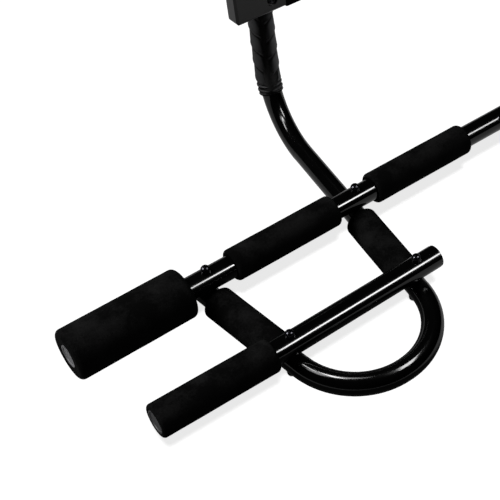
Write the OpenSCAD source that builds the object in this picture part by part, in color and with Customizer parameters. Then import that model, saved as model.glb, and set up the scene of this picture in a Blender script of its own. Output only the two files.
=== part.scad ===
// Doorway pull-up bar with parallel-grip loops, raised short bars and a door-trim hook.
// X runs along the long bar, Y points to the far side of the wall, Z is up.
// Every side piece is drawn on the +X side, and the left one is its mirror image.

/* [Tubes] */
// Outside diameter of the long and short bars
bar_d = 25.4; // [23:0.1:26]
// Wall of the long and short bars
bar_wall = 1.5; // [1:0.1:2]
// Outside diameter of the bent loop tubes
loop_d = 24; // [22:0.5:25]
// Wall of the bent loop tubes
loop_wall = 1.5; // [1:0.1:2.5]

/* [Long bar] */
// Distance from the middle of the bar to the open end of each half
long_end = 584.5; // [560:0.5:600]
// Distance from the middle to the bolt that holds the outer leg
outer_bolt_x = 427; // [425:0.5:431]
// Distance from the middle to the bolt that holds the inner leg
inner_bolt_x = 232.5; // [229:0.5:234]
// Space between the two halves of the long bar
joint_gap = 1.5; // [0.5:0.1:3]
// Length of the tube inside the joint
joint_len = 110; // [90:1:150]
// Wall of the tube inside the joint
joint_wall = 3; // [2:0.1:4]
// Distance from the middle to each joint screw
joint_screw_x = 18; // [14:1:38]
// Angle of the joint screws from straight up, towards the front
joint_screw_tilt = 42; // [0:1:90]
// Length of the joint screws under the head
joint_screw_len = 7; // [6:0.5:8]

/* [Short bars] */
// Distance from the long bar to the short bars
bar_gap = 120; // [118:0.5:124]
// Distance from the middle to the outer end of each short bar
short_end = 558.5; // [550:0.5:575]
// Distance from the middle to the inner end of each short bar
short_start = 220.5; // [210:0.5:225]
// Distance from the middle to the outer bolt of each short bar
short_outer_x = 408.6; // [407:0.1:411]
// Distance from the middle to the inner bolt of each short bar
short_inner_x = 246.8; // [244:0.1:248]
// Angle by which the outer end of each short bar is bent towards the wall
short_turn = 1.5; // [0.5:0.1:4]
// Distance from the outer bolt of a short bar to its bend
short_turn_gap = 8; // [6:0.5:9]
// Radius of that bend at the tube's axis
short_turn_r = 300; // [150:10:400]

/* [Loop tubes] */
// Distance from the long bar to the axis of the front bend
loop_depth = 200; // [196:0.5:205]
// Radius of the two front bends at the tube's axis
loop_bend_r = 79; // [65:0.5:79]
// Length of the outer leg behind its bolt
leg_tail = 15; // [13:0.5:18]
// Distance from the long bar to where the rear bend starts
rear_run = 116.5; // [100:0.5:130]
// Radius of the rear bend at the tube's axis
rear_bend_r = 78; // [70:1:85]
// Angle at which the uprights lean back
lean = 5.9; // [0:0.1:10]

/* [Foam grips] */
// Outside diameter of the rollers that press on the wall
roller_d = 55.5; // [48:0.5:60]
// Distance from the outer bolt to the inner end of each roller
roller_gap = 26; // [24:0.5:40]
// Outside diameter of the hand grips on the bars
grip_d = 36; // [32:0.5:38]
// Length of the grips between the two long-bar bolts
outer_grip_len = 134; // [100:1:136]
// Length of the grips beside the middle of the long bar
inner_grip_len = 137; // [100:1:145]
// Distance from the inner bolt to the end of the inner grip
inner_grip_gap = 23; // [21:0.5:30]
// Distance from the outer bolt of a short bar to the inner end of its grip
short_grip_gap = 21.4; // [20:0.2:40]
// Outside diameter of the grips on the legs of the loops
leg_grip_d = 37; // [32:0.5:38]
// Radius of the rounded rim of the hand grips
grip_edge = 3.5; // [1:0.5:4.5]
// Radius of the rounded rim of the rollers
roller_edge = 5; // [2:0.5:8]
// How far a foam end stands past the tube's end
foam_overhang = 2.5; // [2.2:0.1:5]

/* [Upright sleeves] */
// Outside diameter of the rubber sleeve between its ribs
sleeve_d = 27.6; // [26.6:0.1:28]
// Height of the braided relief
relief = 1.4; // [0.6:0.1:1.8]
// Distance between two strands of the relief on one side
relief_pitch = 22.5; // [20:0.5:30]
// Width of the groove between two strands
strand_groove = 2.4; // [1.5:0.1:4]
// Width of the cord along the lower edge of each strand
strand_cord = 2.2; // [1.5:0.1:3]
// Slope of the strands
strand_slope = 40; // [25:1:50]
// Turn of the relief around each upright, towards the hook's end
relief_turn = 22; // [0:1:45]
// Angle of the rear bend that the sleeve covers
sleeve_wrap = 22; // [20:1:30]
// Width of each ring at the sleeve's ends
ring_w = 3.5; // [2:0.5:4]

/* [Hook] */
// Height of the hook's end covers
hook_h = 58; // [50:0.5:64]
// Depth of the end covers from front to back
hook_t = 17; // [15:0.5:22]
// How far the hook reaches out past the axis of each upright
hook_overhang = 47.5; // [40:0.5:60]
// How far each end cover reaches in past the axis of its upright
cover_inset = 17.5; // [14:0.5:25]
// Wall of the end covers
cover_wall = 2; // [1.5:0.1:2.5]
// Bevel around the front of the end covers
cover_bevel = 2.5; // [1:0.1:3]
// Corner radius of the covers, seen from the front
cover_r = 5; // [3:0.5:7]
// Height of the hook's lower edge above the top of the rear bend
hook_base = 90; // [80:0.5:110]
// Distance between the two bolts on each upright
hook_bolt_gap = 29; // [26:1:34]
// Wall of the steel beam
beam_wall = 1.2; // [1:0.1:2.5]
// How far the rubber pad stands out past the covers
pad_proud = 1.2; // [0.5:0.1:3]
// Rounding of the pad's long edges
pad_edge = 2.5; // [1:0.5:3.5]

/* [Fasteners] */
// Shank diameter of the bolts
bolt_d = 6; // [5:0.5:6.5]
// Diameter of the tall domed heads on the bars
dome_d = 10.4; // [9:0.1:11]
// Height of the tall domed heads
dome_h = 8.4; // [6:0.2:9]
// Diameter of the low heads on the hook and the joint
head_d = 11; // [10:0.5:12]
// Height of the low heads
head_h = 3.3; // [2.5:0.1:4]
// Hexagon size of the socket in the bolt heads
socket_af = 4; // [3:0.5:5]
// Width across the flats of the domed nuts
nut_af = 10; // [9.5:0.5:11]
// Height of the domed nuts
nut_h = 12; // [11:0.5:14]
// Outside diameter of the washers
washer_d = 12; // [11.5:0.5:14]
// Thickness of the washers
washer_t = 1.6; // [1:0.1:2]

/* [Plugs] */
// Thickness of the rim of the tube plugs
plug_rim = 2; // [1.2:0.1:2.1]
// Depth of the plugs inside the tubes
plug_depth = 14; // [8:1:16]
// Width of the raised edge around the plugs' faces
plug_edge = 1.8; // [1:0.1:3]
// Depth of the shallow dish in the plugs' faces
plug_dish = 0.8; // [0.4:0.1:1]
// Rise of the domed caps on the short bars
cap_dome = 1.6; // [0.8:0.1:3]

/* [Hidden] */

$fn = 64;
eps = 0.01;

// A bend is thicker than a straight by weld, and a straight runs into it by lap
weld = 0.15;
lap = 1;

// Clearances between pieces that seat on each other
seat = 0.1;
foam_clear = 0.1;
hole_clear = 0.3;
thread_clear = 0.05;
plug_clear = 0.1;
pocket_clear = 1.5;

// Radii of the tubes and how far apart two crossing axes lie
bar_r = bar_d / 2;
loop_r = loop_d / 2;
cross_rise = bar_r + loop_r + seat;

// The domed nuts under the loops are what the frame stands on
loop_z = nut_h + washer_t + loop_r;
bar_z = loop_z + cross_rise;

// Angles of the two legs of a loop, seen from above
outer_slant = atan2(outer_bolt_x - short_outer_x, bar_gap);
inner_slant = atan2(short_inner_x - inner_bolt_x, bar_gap);
outer_sweep = 90 - outer_slant;
inner_sweep = 90 - inner_slant;

// Where the front bends start and end
outer_corner_x = outer_bolt_x - tan(outer_slant) * loop_depth;
inner_corner_x = inner_bolt_x + tan(inner_slant) * loop_depth;
outer_arc_x = outer_corner_x - loop_bend_r * tan(outer_sweep / 2);
inner_arc_x = inner_corner_x + loop_bend_r * tan(inner_sweep / 2);

// Heights along an upright, from the top of its bend
hook_top = hook_base + hook_h;
upright_len = hook_top - plug_rim;
hook_bolt_low = hook_base + (hook_h - hook_bolt_gap) / 2;
hook_bolt_heights = [hook_bolt_low, hook_bolt_low + hook_bolt_gap];

// Frame of the rear bend: run is along the leg, rise is square to it
leg_run = [-sin(inner_slant), cos(inner_slant), 0];
bend_roll = atan2(sin(lean) * sin(inner_slant), cos(lean));
bend_sweep = acos(sin(lean) * cos(inner_slant));
leg_side = [cos(inner_slant), sin(inner_slant), 0];
leg_rise = leg_side * sin(bend_roll) + [0, 0, cos(bend_roll)];
bend_step = rear_bend_r * (leg_run * sin(bend_sweep) + leg_rise * (1 - cos(bend_sweep)));

// The long bar's y puts y = 0 halfway between the front bends and the upper hook nuts
dome_r = nut_af * 0.475;
nut_reach = (loop_r + washer_t + nut_h - dome_r) * cos(lean) + hook_bolt_heights[1] * sin(lean);
back_reach = rear_run + bend_step.y + nut_reach + dome_r;
bar_y = (loop_depth + loop_r - back_reach) / 2;
front_y = bar_y - loop_depth;
short_y = bar_y - bar_gap;

bend_start = [inner_bolt_x, bar_y, loop_z] + leg_run * (rear_run / cos(inner_slant));
bend_end = bend_start + bend_step;

// Depths of the hook, from the upright's axis towards the front
hook_back = loop_r + seat;
hook_front = hook_back + hook_t;
beam_t = hook_t - 2 * (cover_wall + seat);
beam_h = hook_h - 2 * (cover_wall + seat);
beam_front = hook_front - cover_wall - seat;

// Places of the hook along X
hook_end = bend_end.x + hook_overhang;
cover_start = bend_end.x - cover_inset;
beam_end = hook_end - cover_wall - seat;
pad_end = cover_start - seat;

// Lengths of the foam pieces that reach to the ends of the bars
roller_len = long_end + foam_overhang - outer_bolt_x - roller_gap;
short_grip_len = short_end + foam_overhang - short_outer_x - short_grip_gap;

// Where the bend of a short bar starts and ends, and how much of the bar lies past it
short_turn_x = short_outer_x + short_turn_gap;
short_turn_end = [short_turn_x + short_turn_r * sin(short_turn), short_turn_r * (1 - cos(short_turn)), 0];
short_arm = short_end - short_turn_end.x;

// Thickness of a strand's slab, square to its slope
strand_w = relief_pitch * cos(strand_slope) - strand_groove;

// Half length of the drills, which pass through any two tubes
drill_reach = 2 * (bar_d + loop_d);

// Lengths of the two kinds of bolt, which end inside their domed nuts
nut_grip = washer_t + nut_h * 0.7;
cross_bolt_len = 2 * (bar_r + loop_r) + seat + nut_grip;
hook_bolt_len = beam_front + loop_r + nut_grip;

// The joint tube fits inside the bars
joint_r = bar_r - bar_wall - seat;

// How far a leg grip stays from the axis of a bar that crosses over it
tuck = cross_rise - leg_grip_d / 2;
leg_grip_gap = sqrt(max(bar_r * bar_r - tuck * tuck, 1)) + 0.8;

colour_paint = [0.06, 0.06, 0.065];
colour_foam = [0.09, 0.09, 0.09];
colour_plug = [0.35, 0.35, 0.36];
colour_cover = [0.2, 0.2, 0.205];
colour_rubber = [0.13, 0.13, 0.13];
colour_steel = [0.1, 0.1, 0.105];

// ---- helpers ----

module mirrored() {
    mirror([1, 0, 0]) children();
}

// Draws its children on both sides
module both_sides() {
    children();
    mirrored() children();
}

// Solid round rod between two points, longer by lap_p and lap_q at its ends
module rod(p, q, r, lap_p = lap, lap_q = lap) {
    d = q - p;
    translate(p)
        rotate([0, acos(d.z / norm(d)), atan2(d.y, d.x)])
            translate([0, 0, -lap_p]) cylinder(h = norm(d) + lap_p + lap_q, r = r);
}

// Solid round bar along +X from x0 to x1
module bar_along_x(x0, x1, r) {
    translate([x0, 0, 0]) rotate([0, 90, 0]) cylinder(h = x1 - x0, r = r);
}

// Solid ring sector around Z
module arc_rod(bend_r, r, sweep) {
    rotate_extrude(angle = sweep, $fn = 128) translate([bend_r, 0]) circle(r = r + weld);
}

// Rectangle with round corners, from its lower left corner
module round_rect(size, r) {
    translate([r, 0]) square([size.x - 2 * r, size.y]);
    translate([0, r]) square([size.x, size.y - 2 * r]);
    for (x = [r, size.x - r], y = [r, size.y - r]) translate([x, y]) circle(r = r);
}

// Foam tube along +Z with rounded rims
module foam_tube(len, d, bore_r, edge) {
    difference() {
        rotate_extrude() {
            square([d / 2 - edge, len]);
            translate([0, edge]) square([d / 2, len - 2 * edge]);
            for (z = [edge, len - edge]) translate([d / 2 - edge, z]) circle(r = edge);
        }
        translate([0, 0, -1]) cylinder(h = len + 2, r = bore_r);
    }
}

// Foam tube along +X from x0
module foam_along_x(x0, len, d, edge) {
    translate([x0, 0, 0]) rotate([0, 90, 0]) foam_tube(len, d, bar_r + foam_clear, edge);
}

// Low-headed bolt with its shank down -Z and its seat at z = 0
module bolt(len) {
    head_r = (head_d * head_d / 4 + head_h * head_h) / (2 * head_h);
    difference() {
        union() {
            intersection() {
                cylinder(h = head_h, d = head_d);
                translate([0, 0, head_h - head_r]) sphere(r = head_r);
            }
            translate([0, 0, -len]) cylinder(h = len + eps, d = bolt_d);
        }
        translate([0, 0, head_h * 0.45]) cylinder(h = head_h, d = socket_af / cos(30), $fn = 6);
    }
}

// Bolt with a tall domed head, its shank down -Z and its seat at z = 0
module domed_bolt(len) {
    neck = dome_h - dome_d / 2;
    difference() {
        union() {
            cylinder(h = neck, d = dome_d);
            translate([0, 0, neck]) sphere(d = dome_d);
            translate([0, 0, -len]) cylinder(h = len + neck, d = bolt_d);
        }
        translate([0, 0, dome_h * 0.6]) cylinder(h = dome_h, d = socket_af / cos(30), $fn = 6);
    }
}

// Domed nut below z = 0, with a blind threaded hole
module domed_nut() {
    hex_h = nut_h * 0.45;
    difference() {
        union() {
            intersection() {
                translate([0, 0, -hex_h]) cylinder(h = hex_h, d = nut_af / cos(30), $fn = 6);
                translate([0, 0, -hex_h]) cylinder(h = hex_h, r1 = nut_af * 0.5, r2 = nut_af * 0.75);
            }
            translate([0, 0, dome_r - nut_h]) cylinder(h = nut_h - dome_r - hex_h / 2, r = dome_r);
            translate([0, 0, dome_r - nut_h]) sphere(r = dome_r);
        }
        translate([0, 0, -nut_h * 0.78]) cylinder(h = nut_h, d = bolt_d + 2 * thread_clear);
    }
}

// Washer below z = 0
module washer() {
    translate([0, 0, -washer_t]) difference() {
        cylinder(h = washer_t, d = washer_d);
        translate([0, 0, -1]) cylinder(h = washer_t + 2, d = bolt_d + hole_clear);
    }
}

// Drill for a bolt, along Z through everything
module bolt_drill() {
    translate([0, 0, -drill_reach]) cylinder(h = 2 * drill_reach, d = bolt_d + hole_clear);
}

// Ribbed plug that reaches depth into a tube's end at z = 0, with its rim above
module tube_plug(tube_r, wall, depth, dome = 0) {
    fit_r = tube_r - wall - plug_clear;
    rim_r = tube_r - 0.3;
    difference() {
        cylinder(h = plug_rim, r = rim_r);
        if (dome == 0) {
            translate([0, 0, plug_rim - plug_dish])
                cylinder(h = plug_dish + eps, r1 = rim_r - plug_edge - plug_dish, r2 = rim_r - plug_edge + eps);
        }
    }
    if (dome > 0) {
        cap_r = (rim_r * rim_r + dome * dome) / (2 * dome);
        intersection() {
            translate([0, 0, plug_rim - dome]) cylinder(h = 2 * dome, r = rim_r);
            translate([0, 0, plug_rim + dome - cap_r]) sphere(r = cap_r);
        }
    }
    difference() {
        translate([0, 0, -depth]) cylinder(h = depth + eps, r = fit_r - 0.8);
        translate([0, 0, -depth - 1]) cylinder(h = depth, r = fit_r - 2.6);
    }
    for (z = [1.5 : 3.5 : depth - 1])
        translate([0, 0, -z - 1.4])
            difference() {
                cylinder(h = 1.4, r = fit_r);
                translate([0, 0, -1]) cylinder(h = 4, r = fit_r - 1);
            }
}

// ---- long bar ----

module at_long_bar() {
    translate([0, bar_y, bar_z]) children();
}

module long_bar() {
    color(colour_paint) at_long_bar() difference() {
        bar_along_x(joint_gap / 2, long_end, bar_r);
        bar_along_x(-1, long_end + 1, bar_r - bar_wall);
        for (x = [inner_bolt_x, outer_bolt_x]) translate([x, 0, 0]) bolt_drill();
        at_joint_screw() cylinder(h = bar_r + 1, d = bolt_d + hole_clear);
    }
}

// Places its children at the right joint screw, with +Z out of the bar towards its head
module at_joint_screw() {
    translate([joint_screw_x, 0, 0]) rotate([joint_screw_tilt, 0, 0]) children();
}

// Tube inside the two halves, with a threaded hole for each joint screw
module joint_tube() {
    color(colour_steel) at_long_bar() difference() {
        bar_along_x(-joint_len / 2, joint_len / 2, joint_r);
        bar_along_x(-joint_len, joint_len, joint_r - joint_wall);
        both_sides() at_joint_screw() cylinder(h = joint_r + 1, d = bolt_d + 2 * thread_clear);
    }
}

module joint_screws() {
    color(colour_steel) at_long_bar()
        both_sides() at_joint_screw() translate([0, 0, bar_r]) bolt(joint_screw_len);
}

module roller() {
    color(colour_foam) at_long_bar()
        foam_along_x(long_end + foam_overhang - roller_len, roller_len, roller_d, roller_edge);
}

module outer_grip() {
    middle = (outer_bolt_x + inner_bolt_x) / 2;
    color(colour_foam) at_long_bar()
        foam_along_x(middle - outer_grip_len / 2, outer_grip_len, grip_d, grip_edge);
}

module inner_grip() {
    start = inner_bolt_x - inner_grip_gap - inner_grip_len;
    color(colour_foam) at_long_bar() foam_along_x(start, inner_grip_len, grip_d, grip_edge);
}

module long_plug() {
    color(colour_plug) at_long_bar()
        translate([long_end, 0, 0]) rotate([0, 90, 0]) tube_plug(bar_r, bar_wall, plug_depth);
}

// ---- short bars ----

module at_short_bar() {
    translate([0, short_y, bar_z]) children();
}

// Places its children on the outer part of a short bar, with +X towards its end and x = 0 at its bend
module at_short_arm() {
    at_short_bar() translate(short_turn_end) rotate([0, 0, short_turn]) children();
}

// The whole route of a short bar as a rod of radius r, longer by extra at its two ends
module short_route(r, extra) {
    at_short_bar() bar_along_x(short_start - extra, short_turn_x + lap, r);
    at_short_bar() translate([short_turn_x, short_turn_r, 0]) rotate([0, 0, -90])
        arc_rod(short_turn_r, r, short_turn);
    at_short_arm() bar_along_x(-lap, short_arm + extra, r);
}

module short_bar() {
    color(colour_paint) difference() {
        short_route(bar_r, 0);
        short_route(bar_r - bar_wall, 1);
        at_short_bar() for (x = [short_inner_x, short_outer_x]) translate([x, 0, 0]) bolt_drill();
    }
}

module short_grip() {
    start = short_arm + foam_overhang - short_grip_len;
    color(colour_foam) at_short_arm() foam_along_x(start, short_grip_len, grip_d, grip_edge);
}

module short_plug() {
    color(colour_plug) at_short_arm()
        translate([short_arm, 0, 0]) rotate([0, 90, 0]) tube_plug(bar_r, bar_wall, plug_depth);
}

module short_cap() {
    color(colour_rubber) at_short_bar()
        translate([short_start, 0, 0]) rotate([0, -90, 0])
            tube_plug(bar_r, bar_wall, plug_depth, cap_dome);
}

// ---- loop tubes ----

// Places its children in the rear bend, with +Y along the leg and +Z square to it
module at_rear_bend() {
    translate(bend_start) rotate([0, 0, inner_slant]) rotate([0, bend_roll, 0]) children();
}

// Places its children on an upright's axis, with +Z up the upright and z = 0 at its bend
module at_upright() {
    translate(bend_end) rotate([-lean, 0, 0]) children();
}

// Part of the rear bend that ends at the upright, as a rod of radius r
module rear_bend_rod(r, sweep) {
    at_rear_bend() translate([0, 0, rear_bend_r]) rotate([0, 90, 0])
        rotate([0, 0, bend_sweep - sweep]) arc_rod(rear_bend_r, r, sweep);
}

// The whole route of a loop tube as a rod of radius r, longer by extra at its two ends
module loop_route(r, extra) {
    outer_dir = [sin(outer_slant), cos(outer_slant), 0];
    outer_bolt = [outer_bolt_x, bar_y, loop_z];
    arc_y = front_y + loop_bend_r;
    outer_tangent = [outer_arc_x, arc_y, loop_z] + loop_bend_r * [cos(outer_slant), -sin(outer_slant), 0];
    inner_tangent = [inner_arc_x, arc_y, loop_z] - loop_bend_r * [cos(inner_slant), sin(inner_slant), 0];
    rod(outer_tangent, outer_bolt + outer_dir * (leg_tail + extra), r, lap, 0);
    translate([outer_arc_x, arc_y, loop_z]) rotate([0, 0, -90]) arc_rod(loop_bend_r, r, outer_sweep);
    rod([inner_arc_x, front_y, loop_z], [outer_arc_x, front_y, loop_z], r);
    translate([inner_arc_x, arc_y, loop_z])
        rotate([0, 0, 180 + inner_slant]) arc_rod(loop_bend_r, r, inner_sweep);
    rod(inner_tangent, bend_start, r);
    rear_bend_rod(r, bend_sweep);
    at_upright() translate([0, 0, -lap]) cylinder(h = upright_len + extra + lap, r = r);
}

module at_cross_bolts() {
    for (x = [outer_bolt_x, inner_bolt_x]) translate([x, bar_y, 0]) children();
    for (x = [short_outer_x, short_inner_x]) translate([x, short_y, 0]) children();
}

// Places its children at the hook bolts, with -Z pointing to the back
module at_hook_bolts() {
    at_upright() for (z = hook_bolt_heights) translate([0, 0, z]) rotate([90, 0, 0]) children();
}

module loop_tube() {
    color(colour_paint) difference() {
        loop_route(loop_r, 0);
        loop_route(loop_r - loop_wall, 1);
        at_cross_bolts() bolt_drill();
        at_hook_bolts() bolt_drill();
    }
}

// Leg grip from just under the long bar to just under the short bar
module leg_grip(bolt_x, angle) {
    len = bar_gap / cos(angle) - 2 * leg_grip_gap;
    color(colour_foam)
        translate([bolt_x, bar_y, loop_z]) rotate([0, 0, angle]) translate([0, -leg_grip_gap, 0])
            rotate([90, 0, 0]) foam_tube(len, leg_grip_d, loop_r + foam_clear, grip_edge);
}

module outer_leg_grip() {
    leg_grip(outer_bolt_x, -outer_slant);
}

module inner_leg_grip() {
    leg_grip(inner_bolt_x, inner_slant);
}

module leg_plug() {
    color(colour_plug)
        translate([outer_bolt_x, bar_y, loop_z]) rotate([0, 0, -outer_slant]) translate([0, leg_tail, 0])
            rotate([-90, 0, 0]) tube_plug(loop_r, loop_wall, leg_tail - bolt_d / 2 - 2);
}

module upright_plug() {
    color(colour_plug) at_upright()
        translate([0, 0, upright_len])
            tube_plug(loop_r, loop_wall, upright_len - hook_bolt_heights[1] - bolt_d / 2 - 1);
}

// ---- upright sleeves ----

// Slab across one half of the sleeve that slopes down to the valley, width thick and out to radius r
module strand_slab(height, side, width, r) {
    reach = 2 * sleeve_d;
    intersection() {
        translate([0, 0, height]) rotate([0, side * strand_slope, 0])
            translate([-reach, -reach, -strand_w / 2]) cube([2 * reach, 2 * reach, width]);
        translate([side > 0 ? 0 : -reach, -reach, height - reach]) cube([reach, 2 * reach, 2 * reach]);
        translate([0, 0, height - reach]) cylinder(h = 2 * reach, r = r);
    }
}

// One raised strand with the cord along its lower edge
module strand(height, side) {
    strand_slab(height, side, strand_w, sleeve_d / 2 + relief / 2);
    strand_slab(height, side, strand_cord, sleeve_d / 2 + relief);
}

module upright_sleeve() {
    top = hook_base - seat;
    color(colour_rubber) difference() {
        union() {
            at_upright() {
                translate([0, 0, -lap]) cylinder(h = top + lap, d = sleeve_d);
                translate([0, 0, top - ring_w]) cylinder(h = ring_w, r = sleeve_d / 2 + relief);
                intersection() {
                    cylinder(h = top, r = sleeve_d / 2 + relief);
                    rotate([0, 0, relief_turn]) for (z = [0 : relief_pitch : top]) {
                        strand(z, 1);
                        strand(z + relief_pitch / 2, -1);
                    }
                }
            }
            rear_bend_rod(sleeve_d / 2, sleeve_wrap);
            for (k = [0, 1]) sleeve_ring(k);
        }
        rear_bend_rod(loop_r + foam_clear, bend_sweep);
        at_upright() translate([0, 0, -lap]) cylinder(h = top + 1, r = loop_r + foam_clear);
    }
}

// Raised ring number k near the lower end of the sleeve, on the bend
module sleeve_ring(k) {
    ring_angle = ring_w / rear_bend_r * 180 / PI;
    start = bend_sweep - sleeve_wrap + (1 + 2 * k) * ring_angle;
    at_rear_bend() translate([0, 0, rear_bend_r]) rotate([0, 90, 0])
        rotate([0, 0, start]) arc_rod(rear_bend_r, sleeve_d / 2 + relief, ring_angle);
}

// ---- hook ----

// Places its children in the hook's frame: x along the beam, -y to the front, z up
module at_hook() {
    translate([0, bend_end.y, bend_end.z]) rotate([-lean, 0, 0]) children();
}

module hook_beam() {
    color(colour_paint) difference() {
        at_hook() translate([-beam_end, -beam_front, hook_base + cover_wall + seat])
            rotate([90, 0, 90]) difference() {
                linear_extrude(2 * beam_end) round_rect([beam_t, beam_h], beam_wall + 0.5);
                translate([beam_wall, beam_wall, -1])
                    linear_extrude(2 * beam_end + 2)
                        round_rect([beam_t - 2 * beam_wall, beam_h - 2 * beam_wall], 0.5);
            }
        both_sides() at_hook_bolts() bolt_drill();
    }
}

// Outer form of an end cover: front, top and side outlines crossed with each other
module cover_body() {
    b = cover_bevel;
    x0 = cover_start;
    cover_len = hook_end - cover_start;
    intersection() {
        translate([x0 - cover_r, -hook_back, hook_base]) rotate([90, 0, 0])
            linear_extrude(hook_t) round_rect([cover_len + cover_r, hook_h], cover_r);
        translate([0, 0, hook_base]) linear_extrude(hook_h)
            polygon([
                [x0, -hook_back], [hook_end, -hook_back], [hook_end, b - hook_front],
                [hook_end - b, -hook_front], [x0, -hook_front]
            ]);
        translate([x0, 0, 0]) rotate([90, 0, 90]) linear_extrude(cover_len)
            polygon([
                [-hook_back, hook_base], [-hook_back, hook_top], [b - hook_front, hook_top],
                [-hook_front, hook_top - b], [-hook_front, hook_base + b], [b - hook_front, hook_base]
            ]);
    }
}

module hook_cover() {
    color(colour_cover) difference() {
        at_hook() difference() {
            cover_body();
            translate([0, -beam_front - seat, hook_base + cover_wall])
                cube([beam_end + seat, beam_t + 2 * seat, beam_h + 2 * seat]);
        }
        at_hook_bolts() bolt_drill();
        // Round pockets that let the bolt heads sit on the beam
        at_hook_bolts() translate([0, 0, beam_front - 1]) cylinder(h = hook_t, d = head_d + 2 * pocket_clear);
    }
}

module hook_pad() {
    p = pad_proud;
    color(colour_foam) at_hook() difference() {
        translate([-pad_end, -hook_front - p, hook_base - p]) rotate([90, 0, 90])
            linear_extrude(2 * pad_end) round_rect([hook_t + 2 * p, hook_h + 2 * p], pad_edge);
        translate([-hook_end, -beam_front - seat, hook_base + cover_wall])
            cube([2 * hook_end, beam_t + 2 * seat, beam_h + 2 * seat]);
    }
}

module hook_bolts() {
    color(colour_steel) both_sides() at_hook_bolts() translate([0, 0, beam_front]) bolt(hook_bolt_len);
}

module hook_washers() {
    color(colour_steel) both_sides() at_hook_bolts() translate([0, 0, -loop_r]) washer();
}

module hook_nuts() {
    color(colour_steel) both_sides() at_hook_bolts() translate([0, 0, -loop_r - washer_t]) domed_nut();
}

// ---- crossing fasteners ----

module cross_bolts() {
    color(colour_steel)
        both_sides() at_cross_bolts() translate([0, 0, bar_z + bar_r]) domed_bolt(cross_bolt_len);
}

module cross_washers() {
    color(colour_steel) both_sides() at_cross_bolts() translate([0, 0, nut_h + washer_t]) washer();
}

module cross_nuts() {
    color(colour_steel) both_sides() at_cross_bolts() translate([0, 0, nut_h]) domed_nut();
}

mirrored() long_bar();  // left_long_bar
long_bar();  // right_long_bar
joint_tube();
joint_screws();
mirrored() roller();  // left_roller
roller();  // right_roller
mirrored() outer_grip();  // left_outer_grip
outer_grip();  // right_outer_grip
mirrored() inner_grip();  // left_inner_grip
inner_grip();  // right_inner_grip
mirrored() long_plug();  // left_long_plug
long_plug();  // right_long_plug
mirrored() short_bar();  // left_short_bar
short_bar();  // right_short_bar
mirrored() short_grip();  // left_short_grip
short_grip();  // right_short_grip
mirrored() short_plug();  // left_short_plug
short_plug();  // right_short_plug
mirrored() short_cap();  // left_short_cap
short_cap();  // right_short_cap
mirrored() loop_tube();  // left_loop_tube
loop_tube();  // right_loop_tube
mirrored() outer_leg_grip();  // left_outer_leg_grip
outer_leg_grip();  // right_outer_leg_grip
mirrored() inner_leg_grip();  // left_inner_leg_grip
inner_leg_grip();  // right_inner_leg_grip
mirrored() leg_plug();  // left_leg_plug
leg_plug();  // right_leg_plug
mirrored() upright_plug();  // left_upright_plug
upright_plug();  // right_upright_plug
mirrored() upright_sleeve();  // left_upright_sleeve
upright_sleeve();  // right_upright_sleeve
cross_bolts();
cross_washers();
cross_nuts();
hook_beam();
mirrored() hook_cover();  // left_hook_cover
hook_cover();  // right_hook_cover
hook_pad();
hook_bolts();
hook_washers();
hook_nuts();
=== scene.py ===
"""Doorway pull-up bar: foam, rubber sleeves, finishes, floor, lights and camera.

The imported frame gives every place. X runs along the long bar, +Y goes from the user to the hook, +Z is up.
Lengths are in metres unless a name ends in _mm.
"""

import math

import bmesh
import bpy
import numpy as np
from mathutils import Matrix, Quaternion, Vector


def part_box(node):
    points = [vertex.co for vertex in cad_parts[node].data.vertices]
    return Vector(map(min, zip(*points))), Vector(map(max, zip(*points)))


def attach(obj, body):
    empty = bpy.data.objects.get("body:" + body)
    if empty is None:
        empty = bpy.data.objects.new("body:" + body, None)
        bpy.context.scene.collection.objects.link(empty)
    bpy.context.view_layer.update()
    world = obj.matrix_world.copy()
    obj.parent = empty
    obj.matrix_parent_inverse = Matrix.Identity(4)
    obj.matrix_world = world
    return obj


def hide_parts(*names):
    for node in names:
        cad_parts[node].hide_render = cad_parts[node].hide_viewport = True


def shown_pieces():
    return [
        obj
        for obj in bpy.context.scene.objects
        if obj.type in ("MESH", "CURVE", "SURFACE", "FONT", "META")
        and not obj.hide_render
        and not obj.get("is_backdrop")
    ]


bl_info = {
    "name": "Doorway pull-up bar",
    "version": (1, 0, 0),
    "blender": (4, 5, 0),
    "location": "View3D > Sidebar > Pull-up bar",
    "description": "Soft pieces, finishes and studio of a doorway pull-up bar",
    "category": "Object",
}

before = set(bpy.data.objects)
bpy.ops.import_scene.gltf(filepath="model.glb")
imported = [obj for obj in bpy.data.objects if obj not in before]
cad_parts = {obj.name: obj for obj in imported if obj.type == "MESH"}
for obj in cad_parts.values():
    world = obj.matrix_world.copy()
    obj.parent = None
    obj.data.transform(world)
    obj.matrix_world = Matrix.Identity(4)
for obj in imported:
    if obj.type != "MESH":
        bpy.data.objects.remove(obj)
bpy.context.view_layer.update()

MM = 0.001
SIDES = ("left", "right")
FOAM_FACETS = 96
SLEEVE_FACETS = 132
# Distance between the rings of points down a sleeve
SLEEVE_STEP = 0.6 * MM
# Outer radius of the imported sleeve
SLEEVE_RADIUS = 15.2 * MM
# The colour inputs and the colour output of a mix node
MIX_FACTOR, MIX_FIRST, MIX_SECOND, MIX_COLOUR = 0, 6, 7, 2


# ---- numbers and meshes ----


def linear(hex_colour):
    """An sRGB hex colour, such as "#1a1a1a", as linear RGBA."""
    parts = [int(hex_colour[i : i + 2], 16) / 255 for i in (1, 3, 5)]
    return tuple(c / 12.92 if c <= 0.04045 else ((c + 0.055) / 1.055) ** 2.4 for c in parts) + (1.0,)


def sizes():
    """The sizes that a user can change."""
    return bpy.context.scene.pullup_bar_sizes


def finishes():
    """The colours that a user can change."""
    return bpy.context.scene.pullup_bar_finishes


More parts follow.
